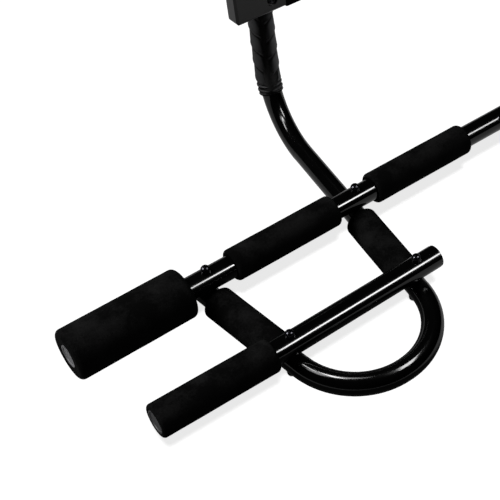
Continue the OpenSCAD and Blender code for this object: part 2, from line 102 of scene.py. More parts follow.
def packed(name):
    """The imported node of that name."""
    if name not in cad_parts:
        raise RuntimeError(f"the frame has no node {name}")
    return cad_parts[name]


def both(*names):
    """The names of the left and the right node of each kind."""
    return [f"{side}_{name}" for name in names for side in SIDES]


def node_points(name):
    """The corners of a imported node's mesh, one row each."""
    return np.array([v.co for v in packed(name).data.vertices], float)


def tube_axis(name):
    """Centre, unit direction, length, outer radius and bore radius of a packed tube, read from its mesh."""
    points = node_points(name)
    centre = (points.min(0) + points.max(0)) / 2
    spread, axes = np.linalg.eigh(np.cov((points - centre).T))
    direction = axes[:, np.argmax(spread)]
    direction = direction * (1 if direction[np.argmax(abs(direction))] > 0 else -1)
    along = (points - centre) @ direction
    centre = centre + direction * (along.max() + along.min()) / 2
    from_centre = points - centre
    across = np.linalg.norm(from_centre - np.outer(from_centre @ direction, direction), axis=1)
    return Vector(centre), Vector(direction), along.max() - along.min(), across.max(), across.min()


def square_to(direction):
    """Two unit vectors square to a direction and to each other, the first as near to +Z as it can be."""
    up = Vector((0, 0, 1)) if abs(direction.z) < 0.9 else Vector((0, -1, 0))
    first = (up - direction * up.dot(direction)).normalized()
    return first, direction.cross(first).normalized()


def spokes(angle, first, second):
    """A unit vector for each angle, from the first of two square vectors towards the second."""
    return np.outer(np.cos(angle), np.array(first)) + np.outer(np.sin(angle), np.array(second))


def ripple(angle, along_mm, seed):
    """A smooth, repeatable unevenness from -1 to 1 round an angle and along a length."""
    waves = (
        np.sin(2 * angle + along_mm / 11.0 + seed)
        + np.sin(3 * angle - along_mm / 7.3 + 2.1 * seed)
        + np.sin(angle + along_mm / 17.0 + 3.7 * seed)
        + 0.6 * np.sin(5 * angle + along_mm / 4.9 + 5.3 * seed)
    )
    return waves / 3.6


def hump(value, centre, width, power=2):
    """1 at the centre and 0.37 a width away from it; a higher power has a flatter top and steeper sides."""
    return np.exp(-(((value - centre) / width) ** power))


def rounded(corner, radius, start, steps):
    """Points of a quarter circle in a profile, as pairs, from the angle start in degrees."""
    angles = np.radians(start + np.linspace(0, 90, steps))
    return [(corner[0] + radius * math.cos(t), corner[1] + radius * math.sin(t)) for t in angles]


def new_object(name, data):
    """A new object in the scene, made from its mesh, lamp or camera."""
    if name in bpy.data.objects:
        raise RuntimeError(f"{name} is already made")
    made = bpy.data.objects.new(name, data)
    bpy.context.scene.collection.objects.link(made)
    return made


def closed_piece(name, points):
    """A smooth piece from a grid of points that closes on itself both ways, with its faces pointing out."""
    rows, columns = points.shape[:2]
    row, column = np.meshgrid(np.arange(rows), np.arange(columns), indexing="ij")
    next_row, next_column = (row + 1) % rows, (column + 1) % columns
    corners = ((row, column), (row, next_column), (next_row, next_column), (next_row, column))
    faces = np.stack([r * columns + c for r, c in corners], axis=-1).reshape(-1, 4)
    mesh = bpy.data.meshes.new(name)
    mesh.from_pydata(points.reshape(-1, 3).tolist(), [], faces.tolist())
    mesh.validate()
    mesh.polygons.foreach_set("use_smooth", np.ones(len(mesh.polygons), bool))
    work = bmesh.new()
    work.from_mesh(mesh)
    bmesh.ops.recalc_face_normals(work, faces=work.faces)
    if work.calc_volume(signed=True) < 0:
        bmesh.ops.reverse_faces(work, faces=work.faces)
    work.to_mesh(mesh)
    work.free()
    return new_object(name, mesh)


# ---- materials ----


def add(tree, kind, settings=None, inputs=None):
    """Adds one shader node with its settings and inputs.

    An input is a value, or a (node, output) pair to link. Inputs and outputs go by name, or by number where a
    node has several of one name.
    """
    made = tree.nodes.new(kind)
    for name, value in (settings or {}).items():
        setattr(made, name, value)
    for name, value in (inputs or {}).items():
        if isinstance(value, tuple) and isinstance(value[0], bpy.types.Node):
            tree.links.new(value[0].outputs[value[1]], made.inputs[name])
        else:
            made.inputs[name].default_value = value
    return made


def empty_material(name):
    """A material of that name with no nodes, and its node tree."""
    material = bpy.data.materials.get(name) or bpy.data.materials.new(name)
    material.use_nodes = True
    material.node_tree.nodes.clear()
    return material, material.node_tree


def black_stove_enamel():
    """Gloss black stove enamel on steel tube: a hard glassy coat with the faint orange peel of spraying."""
    material, tree = empty_material("black_stove_enamel")
    place = add(tree, "ShaderNodeTexCoord")
    # Orange peel has a grain of about 4 mm
    peel = add(
        tree,
        "ShaderNodeTexNoise",
        inputs={"Vector": (place, "Object"), "Scale": 1 / (4 * MM), "Detail": 2.0, "Roughness": 0.5},
    )
    # Handling leaves patches about 60 mm wide that are a little duller
    haze = add(
        tree,
        "ShaderNodeTexNoise",
        inputs={"Vector": (place, "Object"), "Scale": 1 / (60 * MM), "Detail": 5.0, "Roughness": 0.6},
    )
    dull = add(
        tree,
        "ShaderNodeMapRange",
        inputs={"Value": (haze, "Fac"), "From Min": 0.3, "From Max": 0.75, "To Min": 0.1, "To Max": 0.17},
    )
    low, high = linear(finishes().enamel_hex), linear(finishes().enamel_worn_hex)
    colour = add(
        tree,
        "ShaderNodeMix",
        {"data_type": "RGBA"},
        {MIX_FACTOR: (haze, "Fac"), MIX_FIRST: low, MIX_SECOND: high},
    )
    bump = add(
        tree,
        "ShaderNodeBump",
        inputs={"Height": (peel, "Fac"), "Strength": 0.02, "Distance": 0.05 * MM},
    )
    surface = add(
        tree,
        "ShaderNodeBsdfPrincipled",
        inputs={
            "Base Color": (colour, MIX_COLOUR),
            "Roughness": (dull, "Result"),
            "Normal": (bump, "Normal"),
            "IOR": 1.5,
        },
    )
    add(tree, "ShaderNodeOutputMaterial", inputs={"Surface": (surface, "BSDF")})
    return material


def nitrile_foam():
    """Black closed-cell nitrile foam, ground to size: dead matt, with a fine open pore all over."""
    material, tree = empty_material("nitrile_foam")
    place = add(tree, "ShaderNodeTexCoord")
    # Pores of such foam are typically about 0.4 mm; they are drawn at 1.1 mm so that they show
    pores = add(
        tree,
        "ShaderNodeTexVoronoi",
        inputs={"Vector": (place, "Object"), "Scale": 1 / (1.1 * MM)},
    )
    # Grinding raises a nap in tufts of about 2.4 mm
    fuzz = add(
        tree,
        "ShaderNodeTexNoise",
        inputs={"Vector": (place, "Object"), "Scale": 1 / (2.4 * MM), "Detail": 6.0, "Roughness": 0.7},
    )
    # It also leaves cloudy patches about 30 mm wide
    cloud = add(
        tree,
        "ShaderNodeTexNoise",
        inputs={"Vector": (place, "Object"), "Scale": 1 / (30 * MM), "Detail": 3.0, "Roughness": 0.55},
    )
    mixed = add(
        tree,
        "ShaderNodeMath",
        {"operation": "MULTIPLY_ADD"},
        {0: (fuzz, "Fac"), 1: 0.5, 2: (cloud, "Fac")},
    )
    shade = add(
        tree,
        "ShaderNodeMapRange",
        inputs={"Value": (mixed, "Value"), "From Min": 0.65, "From Max": 0.9},
    )
    low, high = linear(finishes().foam_dark_hex), linear(finishes().foam_hex)
    colour = add(
        tree,
        "ShaderNodeMix",
        {"data_type": "RGBA"},
        {MIX_FACTOR: (shade, "Result"), MIX_FIRST: low, MIX_SECOND: high},
    )
    pit = add(tree, "ShaderNodeMapRange", inputs={"Value": (pores, "Distance"), "From Max": 0.45})
    height = add(
        tree,
        "ShaderNodeMath",
        {"operation": "MULTIPLY_ADD"},
        {0: (fuzz, "Fac"), 1: 0.8, 2: (pit, "Result")},
    )
    bump = add(
        tree,
        "ShaderNodeBump",
        inputs={"Height": (height, "Value"), "Strength": 0.35, "Distance": 0.25 * MM},
    )
    surface = add(
        tree,
        "ShaderNodeBsdfPrincipled",
        inputs={
            "Base Color": (colour, MIX_COLOUR),
            "Roughness": 0.95,
            "Normal": (bump, "Normal"),
            "IOR": 1.5,
            "Specular IOR Level": 0.03,
        },
    )
    add(tree, "ShaderNodeOutputMaterial", inputs={"Surface": (surface, "BSDF")})
    return material


def moulded_rubber():
    """Black moulded rubber of the sleeves: painted shade darkens the grooves, which are also duller than the
    crests.
    """
    material, tree = empty_material("moulded_rubber")
    place = add(tree, "ShaderNodeTexCoord")
    # How deep each place lies in the relief, from 0 on the crests to 1 in the grooves
    depth = add(tree, "ShaderNodeAttribute", {"attribute_name": "groove"})
    # Mould grain is typically about 0.3 mm; it is drawn at 0.9 mm so that it shows
    grain = add(
        tree,
        "ShaderNodeTexNoise",
        inputs={"Vector": (place, "Object"), "Scale": 1 / (0.9 * MM), "Detail": 4.0, "Roughness": 0.6},
    )
    # Rubber blooms in patches of about 9 mm
    bloom = add(
        tree,
        "ShaderNodeTexNoise",
        inputs={"Vector": (place, "Object"), "Scale": 1 / (9 * MM), "Detail": 4.0, "Roughness": 0.6},
    )
    # Painted shade: the colour darkens towards the grooves, mixed with the random bloom
    mixed = add(
        tree,
        "ShaderNodeMath",
        {"operation": "MULTIPLY_ADD"},
        {0: (bloom, "Fac"), 1: 0.5, 2: (depth, "Fac")},
    )
    bloom_and_painted_shade = add(
        tree,
        "ShaderNodeMapRange",
        inputs={"Value": (mixed, "Value"), "From Min": 0.2, "From Max": 1.0, "To Min": 1.0, "To Max": 0.0},
    )
    low, high = linear(finishes().rubber_groove_shade_hex), linear(finishes().rubber_hex)
    colour = add(
        tree,
        "ShaderNodeMix",
        {"data_type": "RGBA"},
        {MIX_FACTOR: (bloom_and_painted_shade, "Result"), MIX_FIRST: low, MIX_SECOND: high},
    )
    dull = add(
        tree,
        "ShaderNodeMapRange",
        inputs={"Value": (depth, "Fac"), "From Min": 0.0, "From Max": 0.8, "To Min": 0.5, "To Max": 0.6},
    )
    bump = add(
        tree,
        "ShaderNodeBump",
        inputs={"Height": (grain, "Fac"), "Strength": 0.2, "Distance": 0.08 * MM},
    )
    surface = add(
        tree,
        "ShaderNodeBsdfPrincipled",
        inputs={
            "Base Color": (colour, MIX_COLOUR),
            "Roughness": (dull, "Result"),
            "Normal": (bump, "Normal"),
            "IOR": 1.52,
            "Specular IOR Level": 0.03,
        },
    )
    add(tree, "ShaderNodeOutputMaterial", inputs={"Surface": (surface, "BSDF")})
    return material


def textured_abs():
    """Dark grey ABS of the hook's end covers, moulded with a fine spark texture that scatters the light."""
    material, tree = empty_material("textured_abs")
    place = add(tree, "ShaderNodeTexCoord")
    # Spark texture is typically about 0.2 mm; it is drawn at 0.8 mm so that it shows
    spark = add(
        tree,
        "ShaderNodeTexNoise",
        inputs={"Vector": (place, "Object"), "Scale": 1 / (0.8 * MM), "Detail": 3.0, "Roughness": 0.65},
    )
    # The plastic's flow in the mould leaves tones about 35 mm wide
    flow = add(
        tree,
        "ShaderNodeTexNoise",
        inputs={"Vector": (place, "Object"), "Scale": 1 / (35 * MM), "Detail": 3.0, "Roughness": 0.5},
    )
    low, high = linear(finishes().cover_dark_hex), linear(finishes().cover_hex)
    colour = add(
        tree,
        "ShaderNodeMix",
        {"data_type": "RGBA"},
        {MIX_FACTOR: (flow, "Fac"), MIX_FIRST: low, MIX_SECOND: high},
    )
    # Painted shade: the bevels round the front are darkened in the colour. The bevels round the front are
    # darker in the photograph; a polish in the mould is the guessed cause. A bevel is a face that looks
    # both along Y and aside from it
    facing = add(tree, "ShaderNodeNewGeometry")
    size = add(tree, "ShaderNodeVectorMath", {"operation": "ABSOLUTE"}, {0: (facing, "True Normal")})
    parts = add(tree, "ShaderNodeSeparateXYZ", inputs={"Vector": (size, "Vector")})
    aside = add(tree, "ShaderNodeMath", {"operation": "ADD"}, {0: (parts, "X"), 1: (parts, "Z")})
    slant = add(tree, "ShaderNodeMath", {"operation": "MULTIPLY"}, {0: (aside, "Value"), 1: (parts, "Y")})
    painted_bevel_shade = add(
        tree,
        "ShaderNodeMapRange",
        inputs={"Value": (slant, "Value"), "From Min": 0.2, "From Max": 0.42, "To Min": 1.0, "To Max": 0.08},
    )
    shade = add(
        tree,
        "ShaderNodeVectorMath",
        {"operation": "SCALE"},
        {0: (colour, MIX_COLOUR), "Scale": (painted_bevel_shade, "Result")},
    )
    bump = add(
        tree,
        "ShaderNodeBump",
        inputs={"Height": (spark, "Fac"), "Strength": 0.25, "Distance": 0.06 * MM},
    )
    surface = add(
        tree,
        "ShaderNodeBsdfPrincipled",
        inputs={
            "Base Color": (shade, "Vector"),
            "Roughness": 0.4,
            "Normal": (bump, "Normal"),
            "IOR": 1.53,
            "Specular IOR Level": 0.45,
        },
    )
    add(tree, "ShaderNodeOutputMaterial", inputs={"Surface": (surface, "BSDF")})
    return material


def moulded_polyethylene(name, low_hex, high_hex, roughness):
    """Moulded polyethylene of the plugs: waxy and even, with faint flow marks from the mould."""
    material, tree = empty_material(name)
    place = add(tree, "ShaderNodeTexCoord")
    # Flow marks are about 5 mm wide
    flow = add(
        tree,
        "ShaderNodeTexNoise",
        inputs={"Vector": (place, "Object"), "Scale": 1 / (5 * MM), "Detail": 4.0, "Roughness": 0.6},
    )
    # Mould grain is typically about 0.2 mm; it is drawn at 0.7 mm so that it shows
    grain = add(
        tree,
        "ShaderNodeTexNoise",
        inputs={"Vector": (place, "Object"), "Scale": 1 / (0.7 * MM), "Detail": 2.0, "Roughness": 0.5},
    )
    low, high = linear(low_hex), linear(high_hex)
    colour = add(
        tree,
        "ShaderNodeMix",
        {"data_type": "RGBA"},
        {MIX_FACTOR: (flow, "Fac"), MIX_FIRST: low, MIX_SECOND: high},
    )
    bump = add(
        tree,
        "ShaderNodeBump",
        inputs={"Height": (grain, "Fac"), "Strength": 0.15, "Distance": 0.05 * MM},
    )
    surface = add(
        tree,
        "ShaderNodeBsdfPrincipled",
        inputs={
            "Base Color": (colour, MIX_COLOUR),
            "Roughness": roughness,
            "Normal": (bump, "Normal"),
            "IOR": 1.51,
        },
    )
    add(tree, "ShaderNodeOutputMaterial", inputs={"Surface": (surface, "BSDF")})
    return material


def black_zinc_steel():
    """Black zinc plate on the bolts and nuts: dark metal with a soft gloss and a little wear."""
    material, tree = empty_material("black_zinc_steel")
    place = add(tree, "ShaderNodeTexCoord")
    # The plate clouds and wears in spots of about 1.5 mm
    plate = add(
        tree,
        "ShaderNodeTexNoise",
        inputs={"Vector": (place, "Object"), "Scale": 1 / (1.5 * MM), "Detail": 5.0, "Roughness": 0.65},
    )
    low, high = linear(finishes().zinc_dark_hex), linear(finishes().zinc_hex)
    colour = add(
        tree,
        "ShaderNodeMix",
        {"data_type": "RGBA"},
        {MIX_FACTOR: (plate, "Fac"), MIX_FIRST: low, MIX_SECOND: high},
    )
    dull = add(
        tree,
        "ShaderNodeMapRange",
        inputs={"Value": (plate, "Fac"), "From Min": 0.3, "From Max": 0.7, "To Min": 0.16, "To Max": 0.26},
    )
    bump = add(
        tree,
        "ShaderNodeBump",
        inputs={"Height": (plate, "Fac"), "Strength": 0.08, "Distance": 0.03 * MM},
    )
    surface = add(
        tree,
        "ShaderNodeBsdfPrincipled",
        inputs={
            "Base Color": (colour, MIX_COLOUR),
            "Metallic": 0.85,
            "Roughness": (dull, "Result"),
            "Normal": (bump, "Normal"),
        },
    )
    add(tree, "ShaderNodeOutputMaterial", inputs={"Surface": (surface, "BSDF")})
    return material


def white_floor():
    """Plain matt floor: white to the camera but for a pale shadow, grey in reflections, else nearly dark."""
    material, tree = empty_material("white_floor")
    path = add(tree, "ShaderNodeLightPath")
    shaded = add(tree, "ShaderNodeBsdfDiffuse", inputs={"Color": linear(finishes().floor_hex)})
    glow = add(
        tree,
        "ShaderNodeEmission",
        inputs={"Color": (1, 1, 1, 1), "Strength": finishes().floor_glow},
    )
    shown = add(tree, "ShaderNodeAddShader", inputs={0: (shaded, "BSDF"), 1: (glow, "Emission")})
    # Painted shade seen only in reflections: a dark oval card lies in front of the left loop
    reflected_shade_centre = (-420 * MM, -300 * MM, 0)
    reflected_shade_reach = (200 * MM, 420 * MM, 1)
    place = add(tree, "ShaderNodeTexCoord")
    from_reflected_shade = add(
        tree,
        "ShaderNodeVectorMath",
        {"operation": "SUBTRACT"},
        {0: (place, "Object"), 1: reflected_shade_centre},
    )
    in_reaches = add(
        tree,
        "ShaderNodeVectorMath",
        {"operation": "DIVIDE"},
        {0: (from_reflected_shade, "Vector"), 1: reflected_shade_reach},
    )
    far = add(tree, "ShaderNodeVectorMath", {"operation": "LENGTH"}, {0: (in_reaches, "Vector")})
    bright = add(
        tree,
        "ShaderNodeMapRange",
        {"interpolation_type": "SMOOTHSTEP"},
        {"Value": (far, "Value"), "From Min": 0.8, "From Max": 1.25, "To Min": 0.03, "To Max": 0.42},
    )
    mirrored = add(
        tree,
        "ShaderNodeEmission",
        inputs={"Color": (1, 1, 1, 1), "Strength": (bright, "Result")},
    )
    dim = add(tree, "ShaderNodeEmission", inputs={"Color": (1, 1, 1, 1), "Strength": 0.04})
    unseen = add(
        tree,
        "ShaderNodeMixShader",
        inputs={0: (path, "Is Glossy Ray"), 1: (dim, "Emission"), 2: (mirrored, "Emission")},
    )
    mixed = add(
        tree,
        "ShaderNodeMixShader",
        inputs={0: (path, "Is Camera Ray"), 1: (unseen, "Shader"), 2: (shown, "Shader")},
    )
    add(tree, "ShaderNodeOutputMaterial", inputs={"Surface": (mixed, "Shader")})
    return material


# ---- properties ----


class PullupBarSizes(bpy.types.PropertyGroup):
    foam_rim: bpy.props.FloatProperty(
        name="Grip rim",
        description="Radius of the soft outer rim of the hand grips",
        default=3.6 * MM,
        min=0.5 * MM,
        max=6 * MM,
        unit="LENGTH",
    )
    roller_rim: bpy.props.FloatProperty(
        name="Roller rim",
        description="Radius of the soft outer rim of the rollers",
        default=5.5 * MM,
        min=1 * MM,
        max=10 * MM,
        unit="LENGTH",
    )
    foam_ripple: bpy.props.FloatProperty(
        name="Foam unevenness",
        description="How far ground foam wanders from a true tube",
        default=0.16 * MM,
        min=0,
        max=1 * MM,
        unit="LENGTH",
    )
    lean: bpy.props.FloatProperty(
        name="Upright lean",
        description="Angle at which the uprights lean back",
        default=math.radians(5.9),
        min=0,
        max=0.3,
        subtype="ANGLE",
    )
    rear_bend: bpy.props.FloatProperty(
        name="Rear bend radius",
        description="Radius of the rear bend at the tube's axis",
        default=78 * MM,
        min=30 * MM,
        max=200 * MM,
        unit="LENGTH",
    )
    sleeve_straight: bpy.props.FloatProperty(
        name="Straight of the sleeve",
        description="Length of the sleeve above the rear bend",
        default=89.9 * MM,
        min=30 * MM,
        max=200 * MM,
        unit="LENGTH",
    )
    sleeve_wrap: bpy.props.FloatProperty(
        name="Sleeve on the bend",
        description="Angle of the rear bend that the sleeve covers",
        default=math.radians(22),
        min=0.1,
        max=1.0,
        subtype="ANGLE",
    )
    braid_pitch: bpy.props.FloatProperty(
        name="Braid pitch",
        description="Height of one strand of the braided relief",
        default=23.3 * MM,
        min=10 * MM,
        max=40 * MM,
        unit="LENGTH",
    )
    braid_turn: bpy.props.FloatProperty(
        name="Braid turn",
        description="Turn of the braid's valley from the front towards the hook's end",
        default=math.radians(29),
        min=0,
        max=1.0,
        subtype="ANGLE",
    )


class PullupBarFinishes(bpy.types.PropertyGroup):
    enamel_hex: bpy.props.StringProperty(
        name="Enamel", description="Colour of the stove enamel", default="#030303"
    )
    enamel_worn_hex: bpy.props.StringProperty(
        name="Handled enamel", description="Colour of the enamel where hands dull it", default="#080808"
    )
    foam_hex: bpy.props.StringProperty(
        name="Foam", description="Colour of the foam's raised skin", default="#171717"
    )
    foam_dark_hex: bpy.props.StringProperty(
        name="Foam pores", description="Colour deep in the foam", default="#040404"
    )
    rubber_hex: bpy.props.StringProperty(
        name="Sleeve", description="Colour of the sleeve's crests", default="#3e3e3f"
    )
    # Painted shade: the dark colour that the sleeve's grooves are shaded towards
    rubber_groove_shade_hex: bpy.props.StringProperty(
        name="Sleeve grooves", description="Colour deep in the sleeve's grooves", default="#060606"
    )
    cover_hex: bpy.props.StringProperty(
        name="Cover", description="Colour of the hook's end covers", default="#272728"
    )
    cover_dark_hex: bpy.props.StringProperty(
        name="Cover flow marks", description="Darker tone in the hook's end covers", default="#252526"
    )
    plug_hex: bpy.props.StringProperty(
        name="Grey plug", description="Colour of the long bar's plugs", default="#86868a"
    )
    plug_shade_hex: bpy.props.StringProperty(
        name="Grey plug shade", description="Darker tone in the long bar's plugs", default="#4e4e50"
    )
    dark_plug_hex: bpy.props.StringProperty(
        name="Dark plug", description="Colour of the short bars' plugs", default="#3a3a3c"
    )
    dark_plug_shade_hex: bpy.props.StringProperty(
        name="Dark plug shade", description="Darker tone in the short bars' plugs", default="#333335"
    )
    cap_hex: bpy.props.StringProperty(
        name="Black cap", description="Colour of the short bars' caps", default="#101011"
    )
    cap_shade_hex: bpy.props.StringProperty(
        name="Black cap shade", description="Darker tone in the short bars' caps", default="#0a0a0a"
    )
    zinc_hex: bpy.props.StringProperty(
        name="Black zinc", description="Colour of bolts and nuts", default="#26262a"
    )
    zinc_dark_hex: bpy.props.StringProperty(
        name="Black zinc shade", description="Darker tone in bolts and nuts", default="#17171a"
    )
    floor_hex: bpy.props.StringProperty(
        name="Lit floor", description="Colour that the lamp adds to the floor's glow", default="#8c8c8c"
    )
    floor_glow: bpy.props.FloatProperty(
        name="Floor glow",
        description="Share of the floor's white that no shadow takes away",
        default=0.8,
        min=0,
        max=1,
        subtype="FACTOR",
    )


# ---- pieces ----


def finish_nodes(material, names):
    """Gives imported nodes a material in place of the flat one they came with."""
    for name in names:
        node = packed(name)
        node.data.materials.clear()
        node.data.materials.append(material)


def put_in_place(piece, node, material):
    """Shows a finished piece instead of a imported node."""
    piece.data.materials.append(material)
    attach(piece, "root")
    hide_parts(node)


def foam_tube(side, kind, rim, seed, foam):
    """A foam tube with soft rims, slightly dished ends and a ground, uneven skin of its own for each seed."""
    node = f"{side}_{kind}"
    centre, direction, length, outer, bore = tube_axis(node)
    lip, dish = 0.8 * MM, 0.5 * MM
    bore_steps, lip_steps, rim_steps = 6, 5, 12
    half, wall = length / 2, outer - bore
    shoulder = half - dish - lip
    dished = [(half - dish * (1 - t), bore + lip + (wall - lip - rim) * t) for t in (0.3, 0.6, 0.85)]
    skin_steps = max(8, int(length / (4 * MM)))
    profile = [(x, bore) for x in np.linspace(-shoulder, shoulder, bore_steps)]
    profile += rounded((shoulder, bore + lip), lip, 270, lip_steps)
    profile += dished
    profile += rounded((half - rim, outer - rim), rim, 0, rim_steps)
    profile += [(x, outer) for x in np.linspace(half - rim, rim - half, skin_steps)[1:-1]]
    profile += rounded((rim - half, outer - rim), rim, 90, rim_steps)
    profile += [(-x, r) for x, r in reversed(dished)]
    profile += rounded((-shoulder, bore + lip), lip, 180, lip_steps)
    profile = np.array(profile)
    along, out = profile[:, :1], profile[:, 1:]
    angle = np.linspace(0, 2 * math.pi, FOAM_FACETS, endpoint=False)
    # Only inwards, so that the skin stays within the foam's true size
    sunk = (1 - ripple(angle[None, :], along / MM, seed)) * sizes().foam_ripple / 2
    radius = out - np.clip((out - bore) / wall, 0, 1) * sunk
    spin = spokes(angle, *square_to(direction))
    points = np.array(centre) + along[:, :, None] * np.array(direction) + radius[:, :, None] * spin
    piece = closed_piece(f"{side}_foam_{kind}", points)
    put_in_place(piece, node, foam)


def sleeve_path(side):
    """Rows of place, unit vector to the bend's centre and distance from the top, down a sleeve's axis.

    Also the unit vector square to the bend's plane.
    """
    s = sizes()
    low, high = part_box(f"{side}_upright_plug")
    on_axis = (low + high) / 2
    up = Vector((0, math.sin(s.lean), math.cos(s.lean)))
    _, top_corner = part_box(f"{side}_upright_sleeve")
    top_z = top_corner.z - SLEEVE_RADIUS * math.sin(s.lean)
    top = on_axis + up * ((top_z - on_axis.z) / up.z)
    run = tube_axis(f"{side}_inner_leg_grip")[1]
    run = run if run.y > 0 else -run
    sweep = math.acos(up.dot(run))
    rise = (up - run * up.dot(run)).normalized()
    end = top - up * s.sleeve_straight
    centre = end - s.rear_bend * (run * math.sin(sweep) + rise * (1 - math.cos(sweep))) + rise * s.rear_bend
    to_centre = (centre - end).normalized()
    rows = [(top - up * d, to_centre, d) for d in np.arange(0, s.sleeve_straight, SLEEVE_STEP)]
    steps = math.ceil(s.sleeve_wrap * s.rear_bend / SLEEVE_STEP)
    for k in range(steps + 1):
        turned = s.sleeve_wrap * k / steps
        left = sweep - turned
        inward = (rise * math.cos(left) - run * math.sin(left)).normalized()
        rows.append((centre - inward * s.rear_bend, inward, s.sleeve_straight + turned * s.rear_bend))
    return rows, run.cross(rise)


def braid_height(angle, up_mm, mirror):
    """Height from 0 to about 1 of the braided relief, at an angle from the valley and above the foot.

    mirror is 1 on the right sleeve and -1 on the left one.
    """
    radius_mm, climb, dive_mm = 13.8, 0.5, 3.6
    out = abs(angle)
    # The strands of the two columns are staggered
    outer_foot_mm, inner_foot_mm = 10.5, 4.7
    foot_mm = np.where(angle * mirror > 0, outer_foot_mm, inner_foot_mm)
    # Each strand climbs away from the valley and dives as it reaches it
    dive = hump(out, 0, 0.42)
    strand_mm = foot_mm + climb * radius_mm * out - dive_mm * dive
    phase = np.mod((up_mm - strand_mm) / (sizes().braid_pitch / MM), 1.0)
    # A leaf is highest at its lower edge and slopes back under the next one
    rise = np.clip(phase / 0.05, 0, 1)
    leaf = rise * rise * (3 - 2 * rise) * (1 - 0.5 * np.clip((phase - 0.08) / 0.92, 0, 1) ** 1.3)
    cord = 0.16 * hump(phase, 0.07, 0.045)
    undercut = 0.55 * hump(phase, 0.955, 0.05)
    inner_groove = 0.5 * hump(out, 0, 0.75) * hump(phase, 0.1 + 0.16 * dive, 0.035)
    # The strands rise from a flat valley, and from a second one at the back
    valley_mm, crown_mm = 0.6, 8.0
    from_valley_mm = np.minimum(out, math.pi - out) * radius_mm
    crown = np.sin(np.clip((from_valley_mm - valley_mm) / crown_mm, 0, 1) * math.pi / 2) ** 0.9
    return crown * np.clip(leaf + cord - undercut - inner_groove, 0, 1.15)


def sleeve(side, rubber):
    """A braided rubber sleeve: relief on a tube that follows the upright and the start of its bend."""
    mirror = 1 if side == "right" else -1
    rows, side_way = sleeve_path(side)
    valley = Matrix.Rotation(mirror * sizes().braid_turn, 3, "Z") @ Vector((0, -1, 0))
    start = math.atan2(valley.dot(side_way), valley.dot(rows[0][1]))
    angle = np.linspace(0, 2 * math.pi, SLEEVE_FACETS, endpoint=False)
    from_valley = np.mod(angle - start + math.pi, 2 * math.pi) - math.pi
    bore_mm, base_mm, relief_mm = 12.1, 12.95, 1.95
    lip_mm, lip_length_mm = bore_mm + 0.25, 3.2
    # The rings at the foot are set lower and made thinner where they cross the valley
    sag_mm = 2.2 * hump(from_valley, 0, 0.5)
    thinned = 1 - 0.75 * hump(from_valley, 0, 0.3)
    length_mm = rows[-1][2] / MM
    points, grooves = [], []
    for place, inward, down in rows:
        down_mm = down / MM
        up_mm = length_mm - down_mm
        radius = base_mm + relief_mm * braid_height(from_valley, up_mm, mirror)
        # Two wavy rings 2.1 mm high at the foot and one of 1.9 mm under the hook, each on a plain band
        for ring_mm in (7.6, 13.6):
            plain = hump(up_mm + sag_mm, ring_mm, 3.2, power=4)
            ring = 2.1 * thinned * hump(up_mm + sag_mm, ring_mm, 1.7, power=4)
            radius = radius * (1 - plain) + plain * base_mm + ring
        plain = hump(down_mm, 1.6, 3.6, power=6)
        ring = 1.9 * hump(down_mm, 1.6, 1.9, power=6)
        radius = radius * (1 - plain) + plain * base_mm + ring
        # Painted shade: the groove value is 0 on what stands over 1.3 mm proud and 1 below 0.4 mm, and the
        # material darkens and dulls the sleeve by it; the lip has one dull tone
        groove = np.clip((base_mm + 1.3 - radius) / 0.9, 0, 1)
        grooves.append(groove if up_mm > 3 else np.full(SLEEVE_FACETS, 0.7))
        # The foot thins to the lip over its last few millimetres
        radius = lip_mm + (radius - lip_mm) * math.sin(min(1.0, up_mm / lip_length_mm) * math.pi / 2)
        points.append(np.array(place) + spokes(angle, inward, side_way) * radius[:, None] * MM)
    # The bore gets the full painted shade
    for place, inward, _ in (rows[-1], rows[len(rows) // 2], rows[0]):
        points.append(np.array(place) + spokes(angle, inward, side_way) * bore_mm * MM)
        grooves.append(np.ones(SLEEVE_FACETS))
    piece = closed_piece(f"{side}_braided_sleeve", np.array(points))
    piece.data.attributes.new("groove", "FLOAT", "POINT").data.foreach_set("value", np.concatenate(grooves))
    put_in_place(piece, f"{side}_upright_sleeve", rubber)


